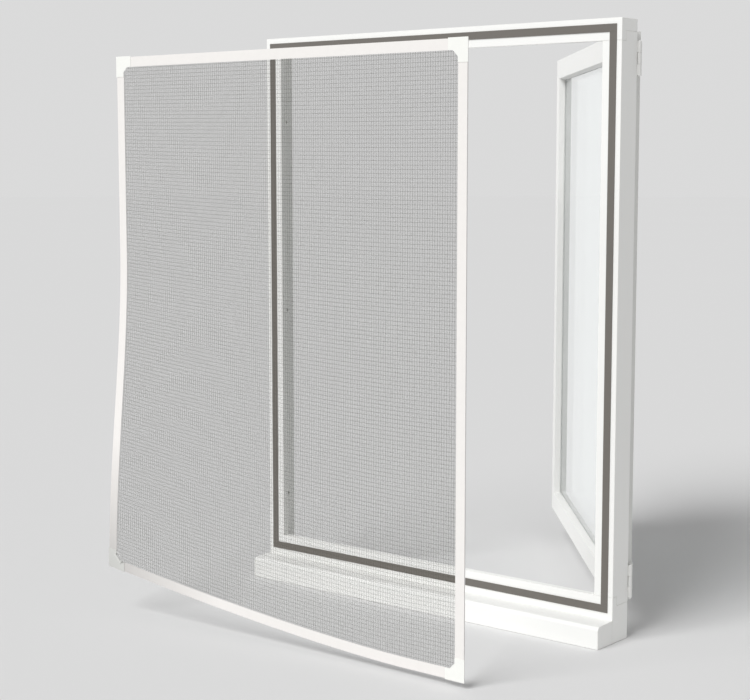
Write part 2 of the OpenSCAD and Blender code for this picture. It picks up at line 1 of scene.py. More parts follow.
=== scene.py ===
"""The looks of a white timber casement window with a peeled-back magnetic insect screen."""

import json
import math

import bmesh
import bpy
from mathutils import Matrix, Vector
from mathutils.bvhtree import BVHTree


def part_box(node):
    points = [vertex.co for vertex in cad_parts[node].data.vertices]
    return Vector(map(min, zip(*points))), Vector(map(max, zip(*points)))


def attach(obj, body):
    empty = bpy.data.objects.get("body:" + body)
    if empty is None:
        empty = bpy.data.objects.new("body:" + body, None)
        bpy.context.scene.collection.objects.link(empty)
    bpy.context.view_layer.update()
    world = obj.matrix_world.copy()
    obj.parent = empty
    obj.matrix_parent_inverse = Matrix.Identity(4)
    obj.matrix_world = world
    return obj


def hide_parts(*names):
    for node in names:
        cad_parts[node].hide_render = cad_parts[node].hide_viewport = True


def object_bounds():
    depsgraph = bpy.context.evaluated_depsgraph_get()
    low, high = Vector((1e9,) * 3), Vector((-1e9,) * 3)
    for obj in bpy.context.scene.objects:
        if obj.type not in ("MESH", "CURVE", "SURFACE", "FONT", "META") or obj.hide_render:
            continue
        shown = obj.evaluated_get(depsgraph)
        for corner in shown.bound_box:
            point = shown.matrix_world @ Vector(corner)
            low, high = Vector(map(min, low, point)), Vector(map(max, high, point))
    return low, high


bl_info = {
    "name": "Casement window with insect screen",
    "version": (1, 0, 0),
    "blender": (4, 5, 0),
    "location": "3D View > Sidebar > Window",
    "description": "Builds a casement window's timber, glazing, hinges, tape and insect screen",
    "category": "Object",
}

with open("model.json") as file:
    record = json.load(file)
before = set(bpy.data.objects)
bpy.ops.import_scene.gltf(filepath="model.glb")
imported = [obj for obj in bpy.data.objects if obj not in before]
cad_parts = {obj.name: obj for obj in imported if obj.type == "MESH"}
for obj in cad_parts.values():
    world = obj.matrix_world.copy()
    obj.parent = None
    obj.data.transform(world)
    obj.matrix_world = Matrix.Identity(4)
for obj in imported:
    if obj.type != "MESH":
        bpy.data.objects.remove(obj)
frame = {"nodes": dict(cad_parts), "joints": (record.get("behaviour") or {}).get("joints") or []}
CAD_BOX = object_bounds()
HINGE = next(joint for joint in frame["joints"] if joint["name"] == "sash_hinge")
SASH_OPEN = -math.radians(HINGE["range_deg"][0])
MM = 0.001
FLUSH = 0.4 * MM  # how near another piece's surface counts as flush
MERGE = 0.005 * MM  # how near two corners of a solid count as one
FLAT = math.radians(0.5)  # how far two faces may lean and still be one
FACING = 0.9  # how much of a face's normal lies along the way that it faces

# Sizes of a leaf screw
HEAD_RADIUS = 3.4 * MM
SHANK_RADIUS = 1.7 * MM
HEAD_DEPTH = 2.0 * MM
SHANK_LENGTH = 19 * MM
POINT_LENGTH = 4 * MM
POINT_SHARE = 0.15  # the point's end beside the shank
RECESS_RIM = 0.35  # the rim left round the recess beside the head
RECESS_WAIST = 0.42  # the places between the recess's arms beside the arms
RECESS_TAPER = 0.6  # the recess's floor beside its mouth
SCREWS_PER_NODE = 6
SCREW_APART = 3 * MM  # corners nearer than this in height are one screw's

# Colours of what shows only a little
PRIMER = (0.80, 0.78, 0.72)
RUBBER_BLOOM = (0.5, 0.49, 0.48)
WORN_STEEL = (0.56, 0.56, 0.55)
BEECH_DARK = (0.48, 0.30, 0.15)
BEECH_LIGHT = (0.66, 0.46, 0.26)
SEALANT = (0.62, 0.64, 0.64)
GLAZING_BLOCK = (0.26, 0.31, 0.34)

NOISE_RANGE = (0.3, 0.7)  # where most of a noise's values lie
EDGE_RANGE = (0.995, 0.90)  # cosine of the lean where an edge begins and where it's full
BRUSH_STRETCH = (0.035, 1.0, 1.0)  # draws a brush mark out along X
LOOP_SHADE_TONE = 0.70  # the pull loop beside a corner patch, darker as painted shade of the curled corner
CORNER_SHADE_TONE = 0.5  # film at the curled corner, darker as painted shade of the curl, beside flat film


# ---- settings


def number(name, description, default, **limits):
    """A number."""
    return bpy.props.FloatProperty(name=name, description=description, default=default, **limits)


def length(name, description, size, least, most=100000):
    """A length with its least and most, all given in millimetres."""
    return number(
        name, description, size * MM, min=least * MM, max=most * MM,
        subtype="DISTANCE", unit="LENGTH", precision=5,
    )


def share(name, description, default):
    """A plain number from 0 to 1."""
    return number(name, description, default, min=0, max=1, subtype="FACTOR")


def angle(name, description, degrees):
    """An angle, given in degrees."""
    return number(name, description, math.radians(degrees), subtype="ANGLE", unit="ROTATION")


def every(name, default):
    """Every how many yarns something comes."""
    return bpy.props.IntProperty(
        name=name, description="Every how many yarns", default=default, min=1
    )


def three(name, description, default, **kind):
    """Three numbers, such as a place, a turn or a colour."""
    return bpy.props.FloatVectorProperty(
        name=name, description=description, default=default, size=3, **kind
    )


def colour(name, description, default):
    """A linear colour."""
    return three(name, description, default, min=0, max=1, subtype="COLOR")


def euler(name, description, *degrees):
    """A turn about X, Y and Z, given in degrees."""
    turn = tuple(math.radians(part) for part in degrees)
    return three(name, description, turn, subtype="EULER", unit="ROTATION")


class TimberSettings(bpy.types.PropertyGroup):
    """The painted timber of the frame, the sill and the sash."""

    paint: colour("Paint", "Colour of the satin paint", (0.885, 0.886, 0.866))
    arris: length("Arris radius", "Radius of the sanded edges", 1.0, 0.2, 3)
    bead_arris: length("Bead arris radius", "Radius of the glazing beads' edges", 0.6, 0.2, 2)
    brush_width: length("Brush mark width", "Spacing across the grain", 2.5, 0.5)
    brush_depth: share("Brush mark depth", "How strongly they catch the light", 0.10)
    # Painted shade: the sash's paint is darker than the frame's, standing in for the shade the open
    # sash lies in.
    sash_painted_shade: share("Sash tone", "How light the sash's paint is beside the frame's", 0.915)
    worn: share("Thin paint at edges", "How much the paint thins there", 0.35)


class HardwareSettings(bpy.types.PropertyGroup):
    """The hinges, their pins and their screws."""

    coat: colour("Powder coat", "Colour of the hinge leaves", (0.78, 0.78, 0.76))
    zinc: colour("Zinc", "Colour of the pins and screws", (0.62, 0.62, 0.61))
    leaf_edge: length("Leaf edge radius", "Radius of a leaf's edges", 0.35, 0.1, 0.9)
    recess_depth: length("Recess depth", "Depth of a screw's recess", 1.1, 0.3)


class GlazingSettings(bpy.types.PropertyGroup):
    """The sealed unit and what holds it."""

    tint: colour("Glass tint", "Tint of the panes", (0.955, 0.985, 0.983))
    spacer: colour("Spacer", "Colour of the spacer bar", (0.68, 0.69, 0.70))
    rubber: colour("Glazing joint", "Colour of the glass's joints and the seal", (0.80, 0.81, 0.79))
    joint_recess: length("Joint recess", "How far the joint is behind the bead's edge", 0.3, 0)


class TapeSettings(bpy.types.PropertyGroup):
    """The magnet tape on the frame's room side."""

    rubber: colour("Tape", "Colour of the flexible magnet", (0.135, 0.124, 0.110))
    edge: length("Edge radius", "Radius of the tape's front edges", 0.3, 0.05, 0.7)


class ScreenSettings(bpy.types.PropertyGroup):
    """The insect screen: its mesh, flexible edge and corner patches."""

    yarn: colour("Yarn", "Colour of the coated yarn", (0.050, 0.045, 0.036))
    film: colour("Edge film", "Colour of the white covers on the edge", (0.825, 0.802, 0.778))
    patch: colour("Corner patch", "Colour of the patches and the loop", (0.87, 0.875, 0.84))
    magnet: colour("Magnet strip", "Colour of the strips at the back", (0.84, 0.83, 0.82))
    warp_pitch: length("Warp pitch", "Distance between upright yarns", 1.375, 0.5)
    weft_pitch: length("Weft pitch", "Distance between level yarns", 1.54, 0.5)
    yarn_width: length("Yarn width", "Width of a plain yarn", 0.17, 0.05)
    warp_extra: length("Extra warp width", "Extra width of a thick upright yarn", 0.34, 0)
    weft_extra: length("Extra weft width", "Extra width of a thick level yarn", 0.30, 0)
    warp_every: every("Thick warp every", 4)
    weft_every: every("Thick weft every", 5)
    cell: length("Sheet cell", "Largest cell of the modelled sheets", 14, 4)
    # Painted shade: how grey, and how far out, the film is painted from the curled corner, standing
    # in for the curl's shade.
    corner_shade: share("Handling", "How grey the film is at the corner that is pulled", 0.78)
    corner_shade_reach: length("Handling reach", "How far from there the film is greyer", 290, 50)
    magnet_inset: length("Magnet inset", "How far a strip is behind its cover's edge", 1.5, 0)
    film_edge: length("Film edge radius", "Radius of the strips' and patches' edges", 0.22, 0.05)
    gusset: length("Gusset", "Legs of the small triangle inside a patch", 11, 2)
    reach_along: length("Curl reach along", "How far the bottom edge curls", 750, 100)
    reach_up: length("Curl reach up", "How far the left edge curls", 700, 100)
    curl_power: number("Curl power", "How quickly the bottom curl fades", 1.6, min=1, max=4)
    loop_radius: length("Loop radius", "Outer radius of the pull loop", 12, 4)
    loop_band: length("Loop band", "Width of the pull loop's band", 3, 1)
    loop_leg: length("Loop leg", "Length of the pull loop's straight legs", 6, 0)
    loop_thickness: length("Loop thickness", "Thickness of the pull loop's band", 1.2, 0.4)
    loop_foot: length("Loop foot", "Width of the loop's foot on the patch", 5, 2)
    loop_gap: length("Loop gap", "Gap between the loop's foot and the patch", 0.1, 0)
    loop_tilt: angle("Loop tilt", "Angle at which the loop stands off the mesh", 30)


class StageSettings(bpy.types.PropertyGroup):
    """The floor, the lights and the camera."""

    floor: colour("Floor", "Colour of the floor", (0.745, 0.745, 0.745))
    backdrop: colour("Backdrop", "Colour behind everything", (0.705, 0.705, 0.705))
    reflector: number("Reflector", "Brightness that glossy surfaces mirror", 1.25, min=0)
    sky: number("Sky", "Strength of the even light", 0.395, min=0)
    key: number("Key", "Strength of the soft key light", 2.44, min=0)
    key_softness: angle("Key softness", "Width of the key light", 36)
    key_turn: euler("Key direction", "Turn of the key light", 46, 0, -6)
    floor_radius: length("Floor radius", "Radius of the round floor", 40000, 2000)
    floor_drop: length("Floor drop", "How far the floor lies under the object", 0.5, 0)
    lens: number(
        "Lens", "Focal length on a 36 mm sensor", 79.37, subtype="DISTANCE_CAMERA", unit="CAMERA"
    )
    eye: three(
        "Camera place", "Where the camera stands", (2.0672, -2.7310, 0.9307),
        subtype="TRANSLATION", unit="LENGTH",
    )
    aim: euler("Camera turn", "Where the camera looks", 83.458, 0, 39.267)


# ---- selecting and shaping


def add(primitive, **options):
    """Adds a primitive with nothing else selected: its object."""
    bpy.ops.object.select_all(action="DESELECT")
    primitive(**options)
    return bpy.context.object


def activate(*pieces):
    """Selects some pieces alone, and makes the first one active."""
    bpy.ops.object.select_all(action="DESELECT")
    for piece in pieces:
        piece.select_set(True)
    bpy.context.view_layer.objects.active = pieces[0]


def edit(piece, everything=False):
    """Opens a piece in edit mode, with nothing or everything selected: its mesh."""
    activate(piece)
    bpy.ops.object.mode_set(mode="EDIT")
    bpy.ops.mesh.select_mode(type="FACE")
    bpy.ops.mesh.select_all(action="SELECT" if everything else "DESELECT")
    return bmesh.from_edit_mesh(piece.data)


def leave_edit():
    """Goes back to object mode."""
    bpy.ops.object.mode_set(mode="OBJECT")


def pick_faces(mesh, wanted):
    """Selects the faces that a test accepts."""
    for face in mesh.faces:
        face.select_set(wanted(face))


def extrude(*offset):
    """Extrudes what is selected."""
    bpy.ops.mesh.extrude_region_move(TRANSFORM_OT_translate={"value": offset})


def surfaces(*nodes):
    """The surfaces of some CAD nodes, to find what lies near them."""
    trees = []
    for node in nodes:
        solid = bmesh.new()
        solid.from_mesh(frame["nodes"][node].data)
        trees.append(BVHTree.FromBMesh(solid))
        solid.free()
    return trees


def round_edges(piece, radius, least=4 * MM, sharper=math.radians(35), segments=2, flush_with=()):
    """Rounds sharp outer edges longer than least, but none flush with another surface."""
    mesh = edit(piece)
    bpy.ops.mesh.select_mode(type="EDGE")
    for edge in mesh.edges:
        sharp = (
            edge.is_manifold
            and edge.calc_face_angle_signed(0) > sharper
            and edge.calc_length() > least
        )
        middle = (edge.verts[0].co + edge.verts[1].co) / 2
        flush = sharp and any(
            tree.find_nearest(middle, FLUSH)[0] is not None for tree in flush_with
        )
        edge.select_set(sharp and not flush)
    bpy.ops.mesh.bevel(offset=radius, segments=segments, affect="EDGES", clamp_overlap=False)
    leave_edit()


def smooth(piece, sharper=math.radians(40)):
    """Smooths the shading over rounded edges and keeps flat faces flat."""
    activate(piece)
    bpy.ops.object.shade_smooth_by_angle(angle=sharper)
    modifier = piece.modifiers.new("Flat faces", "WEIGHTED_NORMAL")
    modifier.keep_sharp = True
    bpy.ops.object.modifier_apply(modifier=modifier.name)


def solid_copy(node, look):
    """A merged copy of a CAD node's solid, named after its look, its flat faces whole."""
    piece = bpy.data.objects.new(look + node, frame["nodes"][node].data.copy())
    piece.data.name = piece.name
    bpy.context.scene.collection.objects.link(piece)
    activate(piece)
    bpy.ops.mesh.customdata_custom_splitnormals_clear()
    edit(piece, everything=True)
    bpy.ops.mesh.remove_doubles(threshold=MERGE)
    bpy.ops.mesh.dissolve_limited(angle_limit=FLAT)
    leave_edit()
    return piece


def dress(piece, material, body, node):
    """Gives a piece its material and body, and hides the CAD node that it stands for."""
    piece.data.materials.clear()
    piece.data.materials.append(material)
    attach(piece, body)
    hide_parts(node)


def finish_solid(node, look, radius, material, body, slot, **rounding):
    """Copies a CAD node's solid, rounds its edges and dresses it in the node's place."""
    piece = solid_copy(node, look)
    round_edges(piece, radius, **rounding)
    smooth(piece)
    dress(piece, material, body, node)


def recolour(node, material):
    """Gives a CAD node that stays in view a better material."""
    mesh = frame["nodes"][node].data
    mesh.materials.clear()
    mesh.materials.append(material)


# ---- shader building


def wire(tree, source, socket):
    """Feeds a socket from another one, or sets it to a plain value or an opaque colour."""
    if isinstance(source, bpy.types.NodeSocket):
        tree.links.new(source, socket)
    else:
        socket.default_value = (*source, 1.0) if socket.type == "RGBA" else source


def node_over(tree, kind, values, **options):
    """Adds a node with its options, and values for its inputs by name or number: its outputs."""
    node = tree.nodes.new(kind)
    for option, choice in options.items():
        setattr(node, option, choice)
    for place, value in values.items():
        wire(tree, value, node.inputs[place])
    return node.outputs


def calculate(tree, operation, *values):
    """A math node over up to three sockets or numbers."""
    return node_over(tree, "ShaderNodeMath", dict(enumerate(values)), operation=operation)[0]


def calculate_vector(tree, operation, *values):
    """A vector math node: its outputs."""
    return node_over(tree, "ShaderNodeVectorMath", dict(enumerate(values)), operation=operation)


def spread(tree, value, ends, to_low, to_high):
    """Maps the values between two ends on to another range, and stays inside it."""
    values = enumerate((value, *ends, to_low, to_high))
    return node_over(tree, "ShaderNodeMapRange", dict(values))[0]


def blend_colours(tree, factor, first, second):
    """Mixes two colours."""
    values = {0: factor, 6: first, 7: second}
    return node_over(tree, "ShaderNodeMix", values, data_type="RGBA")[2]


def noise(tree, vector, scale, detail=2.0, roughness=0.5):
    """A noise texture's value."""
    values = {"Vector": vector, "Scale": scale, "Detail": detail, "Roughness": roughness}
    return node_over(tree, "ShaderNodeTexNoise", values)[0]


def tinted(rgb, factor):
    """A colour made lighter or darker."""
    return tuple(min(1.0, part * factor) for part in rgb)


def tones(tree, factor, rgb, dark, light):
    """A colour that goes from one tone of itself to another."""
    return blend_colours(tree, factor, tinted(rgb, dark), tinted(rgb, light))


# ---- node groups


def start_group(name, inputs, outputs):
    """An empty node group. An input is a number with a default, or a vector where that is None."""
    group = bpy.data.node_groups.new(name, "ShaderNodeTree")
    for label, default in inputs.items():
        kind = "NodeSocketVector" if default is None else "NodeSocketFloat"
        socket = group.interface.new_socket(label, in_out="INPUT", socket_type=kind)
        if default is not None:
            socket.default_value = default
    for label in outputs:
        group.interface.new_socket(label, in_out="OUTPUT", socket_type="NodeSocketFloat")
    given = group.nodes.new("NodeGroupInput").outputs
    return group, given, group.nodes.new("NodeGroupOutput").inputs


def edge_group(name):
    """Marks the edges of a piece, within a radius."""
    group, given, result = start_group(name, {"Radius": 1 * MM}, ["Mask"])
    rounded = node_over(group, "ShaderNodeBevel", {"Radius": given["Radius"]}, samples=4)[0]
    normal = group.nodes.new("ShaderNodeNewGeometry").outputs["Normal"]
    lean = calculate_vector(group, "DOT_PRODUCT", rounded, normal)["Value"]
    wire(group, spread(group, lean, EDGE_RANGE, 0.0, 1.0), result["Mask"])
    return group


def brush_group(name):
    """Long marks along X, as a brush leaves them, over the soft grain of the timber."""
    inputs = {"Vector": None, "Width": 2.5 * MM}
    group, given, result = start_group(name, inputs, ["Height", "Shade"])
    drawn = calculate_vector(group, "MULTIPLY", given["Vector"], BRUSH_STRETCH)[0]
    fine = calculate(group, "DIVIDE", 1.0, given["Width"])
    coarse = calculate(group, "DIVIDE", 0.3, given["Width"])
    marks = noise(group, drawn, fine, 3.0, 0.6)
    grain = noise(group, drawn, coarse, 5.0, 0.65)
    clouds = noise(group, given["Vector"], 3.0)
    for label, over, over_share in (("Height", marks, 0.6), ("Shade", clouds, 0.7)):
        above = calculate(group, "MULTIPLY", over, over_share)
        below = calculate(group, "MULTIPLY", grain, 1 - over_share)
        wire(group, calculate(group, "ADD", above, below), result[label])
    return group


def speckle_group(name):
    """A fine and a coarse speckle, as in moulded rubber, film and powder coat."""
    inputs = {"Vector": None, "Grain": 1 * MM}
    group, given, result = start_group(name, inputs, ["Fine", "Coarse"])
    scale = calculate(group, "DIVIDE", 1.0, given["Grain"])
    wire(group, noise(group, given["Vector"], scale, 2.0, 0.6), result["Fine"])
    wide = calculate(group, "MULTIPLY", scale, 0.06)
    wire(group, noise(group, given["Vector"], wide, 3.0), result["Coarse"])
    return group


def yarn_group(name):
    """Yarns that run across one direction of a cloth, every so many of them wider."""
    inputs = {"Place": 0.0, "Pitch": 2 * MM, "Width": 0.4 * MM, "Extra": 0.0, "Every": 2.0}
    group, given, result = start_group(name, inputs, ["Mask", "Round"])
    count = calculate(group, "DIVIDE", given["Place"], given["Pitch"])
    inside = calculate(group, "FRACT", count)
    whole = calculate(group, "FLOOR", count)
    turn = calculate(group, "FLOORED_MODULO", whole, given["Every"])
    wide = calculate(group, "LESS_THAN", turn, 0.5)
    width = calculate(group, "MULTIPLY_ADD", wide, given["Extra"], given["Width"])
    off_centre = calculate(group, "ABSOLUTE", calculate(group, "SUBTRACT", inside, 0.5))
    away = calculate(group, "MULTIPLY", off_centre, given["Pitch"])
    half = calculate(group, "MULTIPLY", width, 0.5)
    wire(group, calculate(group, "LESS_THAN", away, half), result["Mask"])
    wire(group, spread(group, away, (0.0, half), 1.0, 0.0), result["Round"])
    return group


GROUPS = {
    "Sanded edges": edge_group,
    "Brushed paint": brush_group,
    "Fine speckle": speckle_group,
    "Yarns": yarn_group,
}


def group_node(tree, name, **values):
    """Places a node group with its own values, and builds it the first time."""
    group = bpy.data.node_groups.get(name) or GROUPS[name](name)
    return node_over(tree, "ShaderNodeGroup", values, node_tree=group)


# ---- materials


def object_place(tree, turn=(0.0, 0.0, 0.0)):
    """Object coordinates, turned about the origin."""
    place = tree.nodes.new("ShaderNodeTexCoord").outputs["Object"]
    return node_over(tree, "ShaderNodeMapping", {"Vector": place, "Rotation": turn})[0]


def cloth_place(tree):
    """The piece's own flat coordinates, in metres."""
    return node_over(tree, "ShaderNodeUVMap", {}, uv_map="Flat")[0]


def edge_share(tree, radius, amount):
    """A share of a surface that is full at its edges."""
    edges = group_node(tree, "Sanded edges", Radius=radius)["Mask"]
    return calculate(tree, "MULTIPLY", edges, amount)


def roughen(tree, shader, value, low, high):
    """Varies the roughness with a noise's value."""
    wire(tree, spread(tree, value, NOISE_RANGE, low, high), shader["Roughness"])


def emboss(tree, shader, height, strength, distance):
    """Gives the surface a relief from a height."""
    values = {"Strength": strength, "Distance": distance, "Height": height}
    wire(tree, node_over(tree, "ShaderNodeBump", values)[0], shader["Normal"])


def made_once(fill):
    """Has a function fill the material of each name once, and gives that one every time."""

    def find_or_make(name, *values, **options):
        material = bpy.data.materials.get(name)
        if material is None:
            material = bpy.data.materials.new(name)
            material.use_nodes = True
            tree = material.node_tree
            tree.nodes.clear()
            shader = tree.nodes.new("ShaderNodeBsdfPrincipled")
            node_over(tree, "ShaderNodeOutputMaterial", {"Surface": shader.outputs[0]})
            fill(tree, shader.inputs, *values, **options)
        return material

    return find_or_make


@made_once
def painted_timber(tree, shader, turn, tone):
    """Satin paint brushed along the grain, a little thinner over the arrises."""
    timber = bpy.context.scene.window_timber
    place = object_place(tree, turn)
    brushed = group_node(tree, "Brushed paint", Vector=place, Width=timber.brush_width)
    edges = group_node(tree, "Sanded edges", Radius=2.2 * timber.arris)["Mask"]
    # A tone below 1 is painted shade on the sash's copy of the paint.
    base = tones(tree, brushed["Shade"], timber.paint, 0.975 * tone, 1.02 * tone)
    thin = calculate(tree, "MULTIPLY", edges, timber.worn)
    wire(tree, blend_colours(tree, thin, base, PRIMER), shader["Base Color"])
    satin = spread(tree, brushed["Height"], NOISE_RANGE, 0.36, 0.48)
    rubbed = calculate(tree, "MULTIPLY", edges, 0.08)
    wire(tree, calculate(tree, "SUBTRACT", satin, rubbed), shader["Roughness"])
    emboss(tree, shader, brushed["Height"], timber.brush_depth, 0.4 * MM)


def paint(upright, sash=False):
    """Paint for timber of the frame or the open sash, whose grain runs upwards or across; the
    sash's paint is darker, as painted shade.
    """
    turn = (0.0, math.pi / 2, 0.0) if upright else (0.0, 0.0, SASH_OPEN if sash else 0.0)
    tone = bpy.context.scene.window_timber.sash_painted_shade if sash else 1.0
    name = f"Paint on {'upright' if upright else 'level'} {'sash ' if sash else ''}timber"
    return painted_timber(name, turn, tone)


@made_once
def rubber(tree, shader, rgb, grain, roughness):
    """A matt rubber with a fine speckle and a slight bloom."""
    speckle = group_node(tree, "Fine speckle", Vector=object_place(tree), Grain=grain)
    edges = group_node(tree, "Sanded edges", Radius=0.8 * MM)["Mask"]
    fine = tones(tree, speckle["Fine"], rgb, 0.86, 1.14)
    bloom = calculate(tree, "MULTIPLY", speckle["Coarse"], 0.05)
    pale = calculate(tree, "MULTIPLY_ADD", edges, 0.08, bloom)
    wire(tree, blend_colours(tree, pale, fine, RUBBER_BLOOM), shader["Base Color"])
    roughen(tree, shader, speckle["Coarse"], roughness - 0.06, roughness + 0.06)
    emboss(tree, shader, speckle["Fine"], 0.25, 0.1 * MM)


@made_once
def speckled_metal(
    tree, shader, rgb, grain, tone_range, gloss_by, gloss_range, relief, metallic=1.0, rubbed=0.0
):
    """Metal that goes between two tones, or a coat on it that is rubbed at the edges."""
    speckle = group_node(tree, "Fine speckle", Vector=object_place(tree), Grain=grain)
    base = tones(tree, speckle["Coarse"], rgb, *tone_range)
    if rubbed:
        base = blend_colours(tree, edge_share(tree, 0.7 * MM, rubbed), base, WORN_STEEL)
    wire(tree, base, shader["Base Color"])
    shader["Metallic"].default_value = metallic
    roughen(tree, shader, speckle[gloss_by], *gloss_range)
    emboss(tree, shader, speckle["Fine"], *relief)


def powder_coat():
    """White powder coat, with its slight orange peel."""
    return speckled_metal(
        "Powder coat", bpy.context.scene.window_hardware.coat, 0.9 * MM, (0.96, 1.03),
        "Fine", (0.34, 0.46), relief=(0.15, 0.12 * MM), metallic=0.0, rubbed=0.3,
    )


def zinc_plate():
    """Bright zinc plate, slightly cloudy."""
    return speckled_metal(
        "Zinc plate", bpy.context.scene.window_hardware.zinc, 0.5 * MM, (0.85, 1.12),
        "Coarse", (0.28, 0.45), relief=(0.08, 0.05 * MM),
    )


def spacer_metal():
    """Mill-finish aluminium."""
    return speckled_metal(
        "Spacer aluminium", bpy.context.scene.window_glazing.spacer, 0.7 * MM, (0.9, 1.0),
        "Fine", (0.3, 0.42), relief=(0.1, 0.05 * MM),
    )


@made_once
def float_glass(tree, shader):
    """Clear glass with a faint tint and a trace of smears."""
    wire(tree, bpy.context.scene.window_glazing.tint, shader["Base Color"])
    shader["Transmission Weight"].default_value = 1.0
    shader["IOR"].default_value = 1.45
    smears = noise(tree, object_place(tree), 9.0, 4.0, 0.6)
    wire(tree, spread(tree, smears, (0.45, 0.75), 0.0, 0.035), shader["Roughness"])


@made_once
def bare_beech(tree, shader):
    """Turned beech with a straight grain along Y."""
    place = object_place(tree, (0.0, 0.0, math.pi / 2))
    grain = group_node(tree, "Brushed paint", Vector=place, Width=1.2 * MM)["Height"]
    wire(tree, blend_colours(tree, grain, BEECH_DARK, BEECH_LIGHT), shader["Base Color"])
    roughen(tree, shader, grain, 0.55, 0.7)
    emboss(tree, shader, grain, 0.2, 0.2 * MM)


@made_once
def film(tree, shader, rgb, roughness, corner_shade=0.0):
    """Flexible film with faint ripples, and painted shade: greyer towards the curled corner that is
    pulled.
    """
    place = cloth_place(tree)
    speckle = group_node(tree, "Fine speckle", Vector=place, Grain=0.8 * MM)
    ripples = noise(tree, place, 38.0)
    base = tones(tree, speckle["Coarse"], rgb, 0.97, 1.02)
    # Painted shade: a grey ramp out from the curled corner stands in for the shade of the curl.
    if corner_shade:
        away = calculate_vector(tree, "LENGTH", place)["Value"]
        reach = bpy.context.scene.window_screen.corner_shade_reach
        grey = spread(tree, away, (0.0, reach), corner_shade, 0.0)
        base = blend_colours(tree, grey, base, tinted(rgb, CORNER_SHADE_TONE))
    rubbed = edge_share(tree, 0.5 * MM, 0.25)
    wire(tree, blend_colours(tree, rubbed, base, tinted(rgb, 0.8)), shader["Base Color"])
    roughen(tree, shader, speckle["Fine"], roughness - 0.05, roughness + 0.05)
    height = calculate(tree, "MULTIPLY_ADD", speckle["Fine"], 0.15, ripples)
    emboss(tree, shader, height, 0.25, 0.3 * MM)


@made_once
def insect_mesh(tree, shader):
    """An open weave of coated yarns: solid on the yarns and clear in the holes."""
    screen = bpy.context.scene.window_screen
    place = cloth_place(tree)
    speckle = group_node(tree, "Fine speckle", Vector=place, Grain=0.5 * MM)
    along = node_over(tree, "ShaderNodeSeparateXYZ", {0: place})
    runs = (
        (along[0], screen.warp_pitch, screen.warp_extra, screen.warp_every),
        (along[1], screen.weft_pitch, screen.weft_extra, screen.weft_every),
    )
    warp, weft = (
        group_node(
            tree, "Yarns", Place=across, Pitch=pitch,
            Width=screen.yarn_width, Extra=extra, Every=float(turn),
        )
        for across, pitch, extra, turn in runs
    )
    wire(tree, calculate(tree, "MAXIMUM", warp["Mask"], weft["Mask"]), shader["Alpha"])
    wire(tree, tones(tree, speckle["Coarse"], screen.yarn, 0.8, 1.2), shader["Base Color"])
    roughen(tree, shader, speckle["Fine"], 0.5, 0.65)
    shader["Specular IOR Level"].default_value = 0.25
    raised = calculate(tree, "MAXIMUM", warp["Round"], weft["Round"])
    emboss(tree, shader, raised, 0.5, 0.2 * MM)


@made_once
def floor_finish(tree, shader):
    """A pale, even, matt floor."""
    clouds = noise(tree, object_place(tree), 0.4)
    tone = bpy.context.scene.window_stage.floor
    wire(tree, tones(tree, clouds, tone, 0.995, 1.005), shader["Base Color"])
    shader["Roughness"].default_value = 0.9
    shader["Specular IOR Level"].default_value = 0.0


# ---- the insect screen's shape


class ScreenShape:
    """The screen's flat size and the curl at its lower left corner, read from the frame."""

    def __init__(self):
        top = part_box("edge_cover_top")
        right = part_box("edge_cover_right")
        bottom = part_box("edge_cover_bottom")
        self.screen = bpy.context.scene.window_screen
        self.strip = top[1].z - top[0].z
        self.left = top[0].x
        self.width = top[1].x - top[0].x
        self.foot = right[0].z - self.strip
        self.height = top[1].z - self.foot
        self.out = right[0].y - bottom[0].y
        self.inward = bottom[0].x - self.left
        fade = 1 - self.strip / (self.height - self.strip)
        self.rise = (bottom[1].z - self.foot - self.strip) / fade

    def across(self, u):
        """How strongly the curl acts at a distance u from the left edge."""
        return max(0.0, 1 - u / self.screen.reach_along) ** self.screen.curl_power

    def up(self, v):
        """How strongly the curl comes forward at a height v."""
        part = min(1.0, v / self.screen.reach_up)
        return 1 - part * part * (3 - 2 * part)

    def place(self, u, v, y):
        """The point u across and v up the screen, in a layer at depth y where it's flat."""
        side = self.across(u)
        lift = max(0.0, 1 - v / (self.height - self.strip))
        return Vector((
            self.left + u + self.inward * side * self.up(v),
            y - self.out * side * self.up(v),
            self.foot + v + self.rise * side * lift,
        ))

    def near_corner(self, step, right, upper, y):
        """The point a step in from both edges of a corner."""
        u = self.width - step if right else step
        v = self.height - step if upper else step
        return self.place(u, v, y)


def stations(start, end, cell):
    """Even steps from start to end, none longer than cell."""
    count = max(1, math.ceil((end - start) / cell))
    return [start + (end - start) * step / count for step in range(count + 1)]


def from_far(whole, steps):
    """The same steps, counted from the far edge."""
    return [whole - step for step in reversed(steps)]


def sheet_grid(name, shape, us, vs, y):
    """A sheet with a vertex wherever the lines us and vs cross, bent with the screen."""
    columns, rows = len(us) - 1, len(vs) - 1
    grid = bpy.ops.mesh.primitive_grid_add
    piece = add(grid, x_subdivisions=columns, y_subdivisions=rows, size=2)
    piece.name = name
    piece.data.name = name
    flat = []
    for vertex in piece.data.vertices:
        u = us[round((vertex.co.x + 1) / 2 * columns)]
        v = vs[round((vertex.co.y + 1) / 2 * rows)]
        flat.append((u, v))
        vertex.co = shape.place(u, v, y)
    layer = piece.data.uv_layers[0]
    layer.name = "Flat"
    for loop in piece.data.loops:
        layer.data[loop.index].uv = flat[loop.vertex_index]
    return piece


def film_sheet(piece, depth, sharper, finish, node):
    """Thickens a sheet away from the room, rounds its edges and dresses it."""
    edit(piece, everything=True)
    extrude(0.0, depth[1].y - depth[0].y, 0.0)
    bpy.ops.mesh.select_all(action="SELECT")
    bpy.ops.mesh.normals_make_consistent(inside=False)
    leave_edit()
    radius = bpy.context.scene.window_screen.film_edge
    round_edges(piece, radius, least=0.0, sharper=math.radians(sharper))
    smooth(piece)
    dress(piece, finish, "screen", node)


# ---- operators


